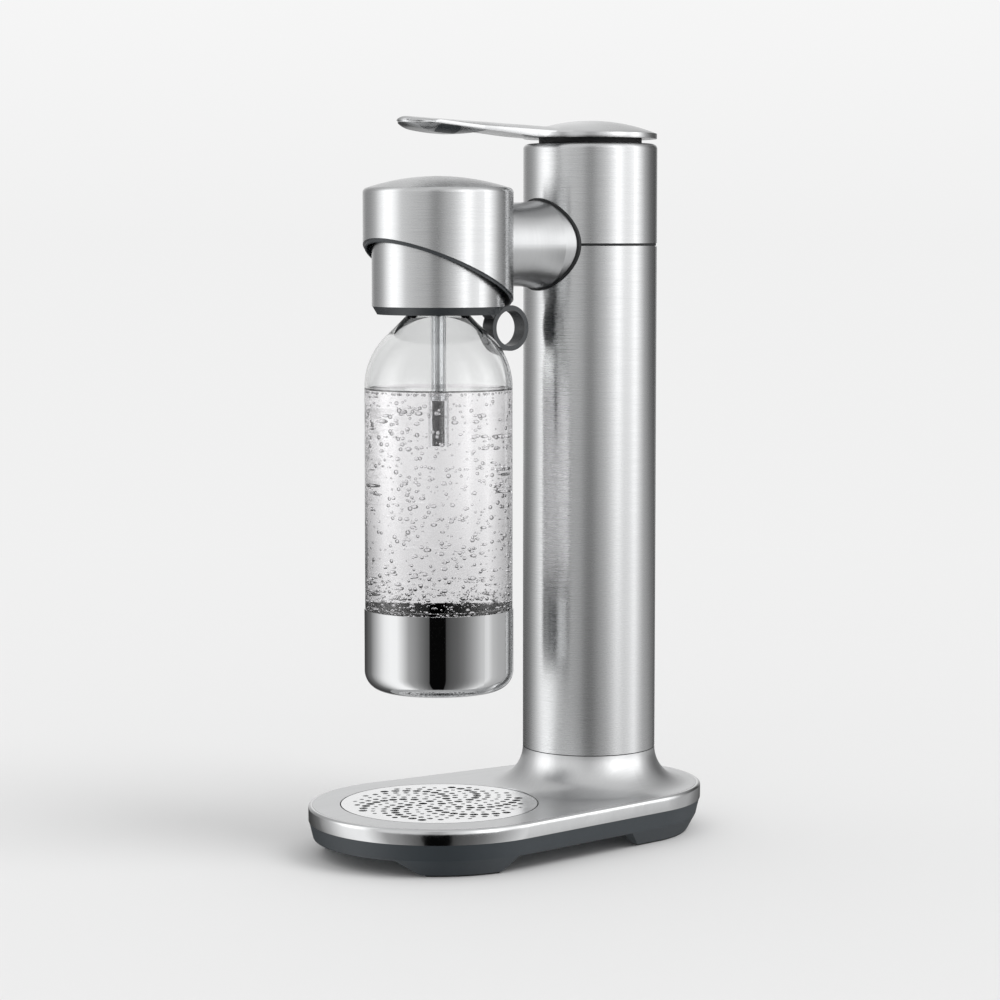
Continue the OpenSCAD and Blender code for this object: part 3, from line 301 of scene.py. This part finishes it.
def roundedCopy(nodeName, name, body, width, segments=3, sharpAngle=35):
    # the node's own shape with its hard edges rolled over, as pressed and polished steel has them
    source = nodes[nodeName]
    work = bmesh.new()
    work.from_mesh(source.data)
    bmesh.ops.remove_doubles(work, verts=work.verts, dist=1e-6)
    bmesh.ops.dissolve_degenerate(work, edges=work.edges, dist=1e-6)
    hard = [edge for edge in work.edges if turnsMoreThan(edge, sharpAngle)]
    bmesh.ops.bevel(
        work, geom=hard, offset=width, offset_type="OFFSET", segments=segments, profile=0.5,
        affect="EDGES", clamp_overlap=True)
    shadeSmooth(work, copySharpAngle)
    mesh = bpy.data.meshes.new(name)
    work.to_mesh(mesh)
    work.free()
    mesh.materials.append(source.data.materials[0])
    piece = placed(name, mesh)
    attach(piece, body)
    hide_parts(nodeName)
    return piece


def lathe(profile, centreY, steps):
    # the solid turned from a closed outline, a list of (radius, height) in millimetres
    verts, faces, rows = [], [], []
    for radius, height in profile:
        radius, height = radius * 0.001, height * 0.001
        if radius < 1e-6:
            rows.append([len(verts)] * steps)
            verts.append((0, centreY, height))
        else:
            rows.append(range(len(verts), len(verts) + steps))
            for i in range(steps):
                angle = 2 * math.pi * i / steps
                verts.append((radius * math.cos(angle), centreY + radius * math.sin(angle), height))
    for low, high in zip(rows, rows[1:]):
        for i in range(steps):
            j = (i + 1) % steps
            corners = []
            for corner in (low[i], low[j], high[j], high[i]):
                if corner not in corners:
                    corners.append(corner)
            if len(corners) > 2:
                faces.append(corners)
    return verts, faces


def arc(centre, radius, start, end, count):
    made = []
    for i in range(count + 1):
        angle = math.radians(start + (end - start) * i / count)
        made.append((centre[0] + radius * math.cos(angle), centre[1] + radius * math.sin(angle)))
    return made


# the bottle in millimetres: its foot, which the steel cup holds, its shoulder and its neck
bottleSize = {
    "radius": 42.5, "wall": 1.8, "footLow": 96.2, "footRadius": 41.8, "footEdge": 10.6, "footSteps": 14,
    "cupLip": 142.8, "lipRise": 0.01, "shoulder": 270.0, "shoulderArc": 41.1, "shoulderEnd": 301.0,
    "shoulderSteps": 26, "neckRadius": 17.4, "neckLow": 312.0, "mouth": 330.0, "steps": 200,
}


def bottleOutline(inset):
    # the wall's outer outline, or one that lies inset within it
    size = bottleSize
    low = size["footLow"] + inset
    edge = size["footEdge"] - inset
    footR = size["footRadius"] - inset
    lip = size["cupLip"] + inset
    neckR = size["neckRadius"] - inset
    reach = size["shoulderArc"] - inset
    shoulderTurn = math.degrees(math.asin((size["shoulderEnd"] - size["shoulder"]) / reach))
    outline = [(0, low)]
    outline += arc((footR - edge, low + edge), edge, -90, 0, size["footSteps"])
    outline += [(footR, lip), (size["radius"] - inset, lip + size["lipRise"])]
    outline += arc(
        (size["radius"] - size["shoulderArc"], size["shoulder"]), reach, 0, shoulderTurn,
        size["shoulderSteps"])
    outline += [(neckR, size["neckLow"] - inset), (neckR, size["mouth"])]
    return outline


bottleProfile = bottleOutline(0) + bottleOutline(bottleSize["wall"])[::-1]
bottleVerts, bottleFaces = lathe(bottleProfile, place["bottleY"], bottleSize["steps"])
bottleWall = addPiece(
    "bottleWall", bottleVerts, bottleFaces, finishes["bottle_plastic"], "bottle")
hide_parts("bottle")

# the water fills the wall's hollow, with its skin just inside the wall, and rises where it wets the
# wall: rise is the height at the wall, edgeSteps the distances from it where the rise is drawn
waterSize = {
    "level": 268.6, "rise": 1.3, "into": 0.25, "skinStop": 3, "edgeSteps": (0, 0.5, 1, 1.6, 2.4, 3.4, 5),
    "flat": 12, "tint": (0.995, 0.975, 0.99),
}
waterR = bottleSize["radius"] - bottleSize["wall"] + waterSize["into"]
waterProfile = [
    point for point in bottleOutline(bottleSize["wall"] - waterSize["into"])
    if point[1] < waterSize["level"] - waterSize["skinStop"]]
waterProfile += [
    (waterR - step, waterSize["level"] + waterSize["rise"] * math.exp(-step))
    for step in waterSize["edgeSteps"]]
waterProfile += [(waterR - waterSize["flat"], waterSize["level"]), (0, waterSize["level"])]
waterVerts, waterFaces = lathe(waterProfile, place["bottleY"], bottleSize["steps"])
addPiece(
    "water", waterVerts, waterFaces, clearWall("water", waterSize["tint"], 1.333), "bottle",
    sharpAngle=50)
print("bottle and water made")

# how far the edges of the lever's two shells and of the base's rim are rolled over, in metres
edgeRound = {"leverTop": 0.0009, "leverUnderside": 0.0005, "rim": 0.0003}
leverSkin = roundedCopy("lever_top", "leverSkin", "lever", edgeRound["leverTop"])
leverLining = roundedCopy("lever_underside", "leverLining", "lever", edgeRound["leverUnderside"])
roundedCopy("base_rim", "rimSkin", "stand", edgeRound["rim"], segments=2)

# the lever's free end, rounded off as one nose: how far in from its edge the skin and the lining are
# drawn to the line where they meet, the grid that their faces are cut to, and the length of the fade
leverNose = {
    "skinRound": 0.0032, "liningRound": 0.006, "grid": 0.0006, "fade": 0.004, "rise": 5,
    "wideWithin": 0.03, "meetWithin": 0.0005,
}
leverPoints = [v.co for v in nodes["lever_top"].data.vertices]
leverTip = min(p.y for p in leverPoints)
leverHalf = max(p.x for p in leverPoints if p.y < leverTip + leverNose["wideWithin"])
leverMeet = min(p.z for p in leverPoints if p.y < leverTip + leverNose["meetWithin"])
leverSlope = math.tan(math.radians(leverNose["rise"]))


def cutEnd(work, axis, first, last, reach):
    # cuts the faces near the lever's end with planes a grid's step apart
    step = leverNose["grid"]
    for i in range(1, int((last - first) / step)):
        near = [
            face for face in work.faces
            if face.calc_center_bounds().y < reach + leverNose["fade"]
            or min(v.co.y for v in face.verts) < reach]
        edges = dict.fromkeys(edge for face in near for edge in face.edges)
        verts = dict.fromkeys(vert for face in near for vert in face.verts)
        bmesh.ops.bisect_plane(
            work, geom=near + list(edges) + list(verts), plane_co=Vector(axis) * (first + i * step),
            plane_no=axis, dist=1e-7)


def roundedNose(piece, roundOff):
    work = bmesh.new()
    work.from_mesh(piece.data)
    arcY = leverTip + leverHalf
    fadeY = arcY + leverNose["fade"]
    cutEnd(work, (0, 1, 0), leverTip, fadeY, fadeY)
    cutEnd(work, (1, 0, 0), -leverHalf, leverHalf, fadeY)
    for vert in work.verts:
        if vert.co.y > fadeY:
            continue
        share = min(1, (fadeY - vert.co.y) / leverNose["fade"])
        inward = leverHalf - math.hypot(vert.co.x, min(0, vert.co.y - arcY))
        inward = min(1, max(0, inward / roundOff))
        meet = leverMeet - leverSlope * (vert.co.y - leverTip)
        thin = math.sqrt(1 - (1 - inward) ** 2)
        vert.co.z += share * (thin - 1) * (vert.co.z - meet)
    shadeSmooth(work, copySharpAngle)
    work.to_mesh(piece.data)
    work.free()


roundedNose(leverSkin, leverNose["skinRound"])
roundedNose(leverLining, leverNose["liningRound"])
print("lever and rim made")

# the plunger's spring, as a copy of its node with a mesh of its own
springCoil = roundedCopy("plunger_spring", "springCoil", "stand", 0, sharpAngle=180)
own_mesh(springCoil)
print("spring made")

# bubbles on the wall, loose in the water, over the steel foot and under the surface, in millimetres:
# under is the depth below the level, inward the farthest that they sit from the wall, and a larger
# crowd gathers more of them at the small, near or low end
bubbleSize = {"seed": 7, "gap": 0.3, "tint": (0.97, 0.965, 0.975), "ior": 0.75}
wallBubbles = {
    "count": 1150, "least": 0.3, "most": 1.5, "crowd": 2.2, "low": 112, "under": 4, "inward": 2.5,
}
looseBubbles = {
    "count": 330, "least": 0.4, "most": 1.3, "low": 118, "under": 3, "reach": 34, "tube": 7, "aside": 8,
}
footBubbles = {
    "count": 520, "least": 0.3, "most": 0.75, "low": 142, "rise": 16, "crowd": 1.6, "inward": 4,
}
foamBubbles = {"count": 150, "least": 0.35, "most": 0.9, "inward": 2.2, "under": 0.15}
random.seed(bubbleSize["seed"])
ballVerts, ballFaces = [], []
ballWork = bmesh.new()
bmesh.ops.create_icosphere(ballWork, subdivisions=2, radius=1)
ballPoints = [v.co.copy() for v in ballWork.verts]
ballTriangles = [[v.index for v in f.verts] for f in ballWork.faces]
ballWork.free()
innerR = bottleSize["radius"] - bottleSize["wall"] - bubbleSize["gap"]
waterLevel = waterSize["level"]


def addBubble(angle, reach, z, radius):
    x = reach * math.cos(angle)
    y = place["bottleY"] * 1000 + reach * math.sin(angle)
    first = len(ballVerts)
    for p in ballPoints:
        ballVerts.append(((x + p.x * radius) * 0.001, (y + p.y * radius) * 0.001, (z + p.z * radius) * 0.001))
    ballFaces.extend([first + i for i in face] for face in ballTriangles)


for i in range(wallBubbles["count"]):
    size = wallBubbles
    radius = size["least"] + (size["most"] - size["least"]) * random.random() ** size["crowd"]
    angle = random.uniform(0, 2 * math.pi)
    z = random.uniform(size["low"], waterLevel - size["under"])
    addBubble(angle, innerR - radius - size["inward"] * random.random() ** 2, z, radius)
for i in range(looseBubbles["count"]):
    size = looseBubbles
    radius = random.uniform(size["least"], size["most"])
    angle = random.uniform(0, 2 * math.pi)
    reach = size["reach"] * math.sqrt(random.random())
    z = random.uniform(size["low"], waterLevel - size["under"])
    if reach < size["tube"]:
        reach += size["aside"]
    addBubble(angle, reach, z, radius)
for i in range(footBubbles["count"]):
    size = footBubbles
    radius = random.uniform(size["least"], size["most"])
    angle = random.uniform(0, 2 * math.pi)
    z = size["low"] + size["rise"] * random.random() ** size["crowd"]
    addBubble(angle, innerR - radius - size["inward"] * random.random(), z, radius)
for i in range(foamBubbles["count"]):
    size = foamBubbles
    radius = random.uniform(size["least"], size["most"])
    angle = random.uniform(0, 2 * math.pi)
    reach = innerR - radius - size["inward"] * random.random() ** 2
    addBubble(angle, reach, waterLevel - radius - size["under"], radius)
bubbleLook = clearWall("bubbleGas", bubbleSize["tint"], bubbleSize["ior"])
addPiece("bubbles", ballVerts, ballFaces, bubbleLook, "bottle", sharpAngle=170)
print("bubbles made,", len(ballVerts) // len(ballPoints))

# the paper that the machine stands on: its own colour near the machine, then its glow from nearReach
# to farReach metres, and the paper behind, which grows lighter over the first backRise of the sky
stageLook = {
    "floor": (0.77, 0.77, 0.77), "floorRough": 0.9, "halfWide": 9, "nearReach": 0.45, "farReach": 1.6,
    "far": (0.875, 0.875, 0.875), "top": (0.925, 0.925, 0.925), "backRise": 0.09,
}
wide = stageLook["halfWide"]
floorMesh = bpy.data.meshes.new("floor")
floorMesh.from_pydata(
    [(-wide, -wide, 0), (wide, -wide, 0), (wide, wide, 0), (-wide, wide, 0)], [], [(0, 1, 2, 3)])
floor = placed("floor", floorMesh)
floorLook, floorTree, floorShader = newMaterial("floorPaper")
floorShader.inputs["Base Color"].default_value = (*stageLook["floor"], 1)
floorShader.inputs["Roughness"].default_value = stageLook["floorRough"]
floorGlow = node(floorTree, "ShaderNodeEmission", Color=(*stageLook["far"], 1), Strength=1.0)
floorCoords = floorTree.nodes.new("ShaderNodeTexCoord")
floorReach = floorTree.nodes.new("ShaderNodeVectorMath")
floorReach.operation = "LENGTH"
floorTree.links.new(floorCoords.outputs["Object"], floorReach.inputs[0])
floorFade = ramp(
    floorTree, floorReach.outputs["Value"], stageLook["nearReach"], stageLook["farReach"], 0, 1)
floorPaper = shaderMix(floorTree, floorFade, floorShader.outputs[0], floorGlow.outputs[0])
# metal sees the studio past the floor, as if the machine stood on a small table
floorRays = floorTree.nodes.new("ShaderNodeLightPath")
floorClear = floorTree.nodes.new("ShaderNodeBsdfTransparent")
floorOpen = shaderMix(floorTree, floorRays.outputs["Is Glossy Ray"], floorPaper, floorClear.outputs[0])
floorTree.links.new(floorOpen, floorTree.nodes["Material Output"].inputs["Surface"])
floorMesh.materials.append(floorLook)

view = {"lens": 102.2, "place": (1.2993, -1.03005, 0.3565), "ahead": (-0.7858, 0.6185), "pitch": 5.32}

# the studio as brushed metal sees it, and the narrow band at table height that polished metal mirrors:
# a dark gap at the camera, soft boxes at both sides, dark flags past them. Each row is a heading in
# degrees from the camera's side and the light's level there; heights are the z of a ray's direction.
studio = {
    "wide": [
        (-180, 1.0), (-160, 0.6), (-142, 0.38), (-122, 0.5), (-110, 0.75), (-100, 1.4), (-88, 2.2),
        (-78, 2.3), (-68, 1.7), (-57, 0.95), (-46, 1.05), (-36, 1.0), (-25, 0.98), (-15, 0.92),
        (-5, 0.62), (2, 0.58), (9, 0.85), (20, 1.1), (29, 1.45), (39, 2.1), (49, 2.95), (60, 1.75),
        (72, 1.65), (84, 2.5), (95, 1.5), (107, 0.6), (124, 0.18), (150, 0.08), (166, 0.5), (180, 1.0),
    ],
    "table": [
        (-180, 0.6), (-165, 0.05), (-147, 0.1), (-130, 0.22), (-111, 0.7), (-98, 1.1), (-91, 1.28),
        (-79, 1.4), (-67, 1.38), (-56, 0.95), (-46, 0.52), (-36, 0.4), (-27, 0.27), (-17, 0.16),
        (-13.6, 0.13), (-12.8, 0.003), (11.2, 0.003), (12, 0.08), (20, 0.13), (30, 0.17), (40, 0.25),
        (50, 0.39), (60, 0.57), (71, 0.81), (83, 1.08), (93, 0.75), (106, 0.62), (123, 0.56),
        (140, 0.3), (165, 0.1), (180, 0.6),
    ],
    "strength": 3.0, "roof": 0.85, "fill": 0.87,
    "tableFull": -0.115, "tableGone": -0.075, "roofFrom": 0.3, "roofFull": 0.9,
    "behindFrom": 0.33, "behindFull": 0.43,
}
world = bpy.context.scene.world or bpy.data.worlds.new("studio")
bpy.context.scene.world = world
world.use_nodes = True
sky = world.node_tree
sky.nodes.clear()
skyOutput = sky.nodes.new("ShaderNodeOutputWorld")
skyCoords = sky.nodes.new("ShaderNodeTexCoord")
skySplit = sky.nodes.new("ShaderNodeSeparateXYZ")
sky.links.new(skyCoords.outputs["Generated"], skySplit.inputs[0])
skyHeight = skySplit.outputs["Z"]
# the heading from the camera's side, 0 behind the camera, growing to its right hand, as a share of a
# turn that is a half at the camera
heading = calculated(sky, "ARCTAN2", skySplit.outputs["Y"], skySplit.outputs["X"])
cameraHeading = math.atan2(-view["ahead"][1], -view["ahead"][0])
turns = calculated(sky, "DIVIDE", calculated(sky, "SUBTRACT", heading, cameraHeading), 2 * math.pi)
wrapped = calculated(sky, "FRACT", calculated(sky, "ADD", turns, 1.5))


def studioBand(levels):
    band = sky.nodes.new("ShaderNodeValToRGB")
    stops = band.color_ramp.elements
    while len(stops) > 1:
        stops.remove(stops[0])
    for index, (angle, level) in enumerate(levels):
        stop = stops[0] if index == 0 else stops.new((angle + 180) / 360)
        stop.position = (angle + 180) / 360
        stop.color = (*[level / studio["strength"]] * 3, 1)
    sky.links.new(wrapped, band.inputs[0])
    return band.outputs[0]


tableShare = ramp(sky, skyHeight, studio["tableFull"], studio["tableGone"], 1, 0)
bands = colourMix(sky, tableShare, studioBand(studio["wide"]), studioBand(studio["table"]))
roofShare = ramp(sky, skyHeight, studio["roofFrom"], studio["roofFull"], 0, 1)
shine = node(sky, "ShaderNodeBackground", Strength=studio["strength"])
roofColour = [studio["roof"] / studio["strength"]] * 3
sky.links.new(colourMix(sky, roofShare, bands, roofColour), shine.inputs["Color"])
paper = sky.nodes.new("ShaderNodeBackground")
paperShare = ramp(sky, skyHeight, 0.0, stageLook["backRise"], 0, 1)
sky.links.new(colourMix(sky, paperShare, stageLook["far"], stageLook["top"]), paper.inputs["Color"])
fill = node(sky, "ShaderNodeBackground", Color=(*[studio["fill"]] * 3, 1))
rays = sky.nodes.new("ShaderNodeLightPath")
# clear plastic shows the paper straight behind it, and the flags where it bends light aside
fromCamera = calculated(sky, "ABSOLUTE", calculated(sky, "SUBTRACT", wrapped, 0.5))
behind = ramp(sky, fromCamera, studio["behindFrom"], studio["behindFull"], 0, 1)
paperThrough = calculated(sky, "MULTIPLY", behind, rays.outputs["Is Transmission Ray"])
paperRays = calculated(sky, "MAXIMUM", rays.outputs["Is Camera Ray"], paperThrough)
shineRays = calculated(
    sky, "MAXIMUM", rays.outputs["Is Glossy Ray"], rays.outputs["Is Transmission Ray"])
lit = shaderMix(sky, shineRays, fill.outputs[0], shine.outputs[0])
sky.links.new(shaderMix(sky, paperRays, lit, paper.outputs[0]), skyOutput.inputs["Surface"])

# the lamp that gives the floor its soft shadow, spread in degrees; metal and clear plastic don't see it
sun = {"strength": 1.0, "spread": 32, "from": (0.84, 0.5, 1.25)}
sunLight = bpy.data.lights.new("keySun", "SUN")
sunLight.energy = sun["strength"]
sunLight.angle = math.radians(sun["spread"])
sunLamp = placed("keySun", sunLight)
sunLamp.rotation_euler = (-Vector(sun["from"])).to_track_quat("-Z", "Y").to_euler()
sunLamp.visible_glossy = False
sunLamp.visible_transmission = False

cameraData = bpy.data.cameras.new("camera")
cameraData.lens = view["lens"]
cameraData.sensor_width = 36
camera = placed("camera", cameraData)
pitch = math.radians(view["pitch"])
aim = Vector((view["ahead"][0] * math.cos(pitch), view["ahead"][1] * math.cos(pitch), -math.sin(pitch)))
camera.location = view["place"]
camera.rotation_euler = aim.to_track_quat("-Z", "Y").to_euler()
bpy.context.scene.camera = camera
bpy.context.scene.view_settings.view_transform = "Standard"
print("stage, lamps and camera set")
